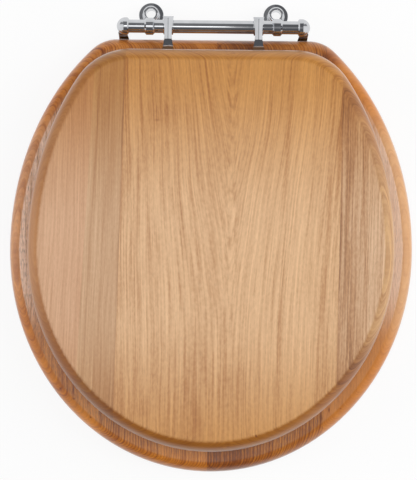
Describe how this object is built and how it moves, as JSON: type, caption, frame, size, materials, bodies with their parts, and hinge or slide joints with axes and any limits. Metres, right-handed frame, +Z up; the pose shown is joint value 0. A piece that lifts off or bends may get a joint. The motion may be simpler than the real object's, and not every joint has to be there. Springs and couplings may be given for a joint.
{
  "type": "toilet seat",
  "caption": "Wooden toilet seat with a closed oval ring, a flat rounded lid and a chromed bar hinge on two pillars that bolt to the pan.",
  "frame": {"origin": "midway between the two pan fixing holes, on the pan's top face", "axes": "+Z up, +Y to the back of the pan, +X to the right seen from the front; the front of the seat points along -Y"},
  "size_m": [0.37, 0.4335, 0.052],
  "materials": {
    "lid_wood": "satin lacquer",
    "ring_wood": "satin lacquer",
    "chrome": "polished",
    "buffer_rubber": "matt",
    "screw_steel": "zinc plated"
  },
  "bodies": {
    "pillar_left": {"pillar_left": "chrome"},
    "pillar_right": {"pillar_right": "chrome"},
    "seat": {"seat_ring": "ring_wood", "hinge_bar": "chrome", "ring_arm_left": "chrome", "bar_grub_screw_left": "screw_steel", "ring_arm_screws_left": "screw_steel", "ring_buffer_front_left": "buffer_rubber", "ring_buffer_rear_left": "buffer_rubber", "ring_arm_right": "chrome", "bar_grub_screw_right": "screw_steel", "ring_arm_screws_right": "screw_steel", "ring_buffer_front_right": "buffer_rubber", "ring_buffer_rear_right": "buffer_rubber", "ring_buffer_screws": "screw_steel"},
    "lid": {"lid": "lid_wood", "lid_arm_left": "chrome", "lid_arm_screws_left": "screw_steel", "lid_buffer_front_left": "buffer_rubber", "lid_buffer_rear_left": "buffer_rubber", "lid_arm_right": "chrome", "lid_arm_screws_right": "screw_steel", "lid_buffer_front_right": "buffer_rubber", "lid_buffer_rear_right": "buffer_rubber", "lid_buffer_screws": "screw_steel"}
  },
  "joints": [
    {"name": "seat_hinge", "type": "hinge", "parent": "pillar_left", "child": "seat", "pos_m": [0, -0.015, 0.031], "axis": [-1, 0, 0], "range_deg": [0, 95]},
    {"name": "lid_hinge", "type": "hinge", "parent": "seat", "child": "lid", "pos_m": [0, -0.015, 0.031], "axis": [-1, 0, 0], "range_deg": [0, 92]},
    {"name": "pillar_slide", "type": "slide", "parent": "pillar_left", "child": "pillar_right", "axis": [1, 0, 0], "range_m": [-0.006, 0.0135]}
  ]
}
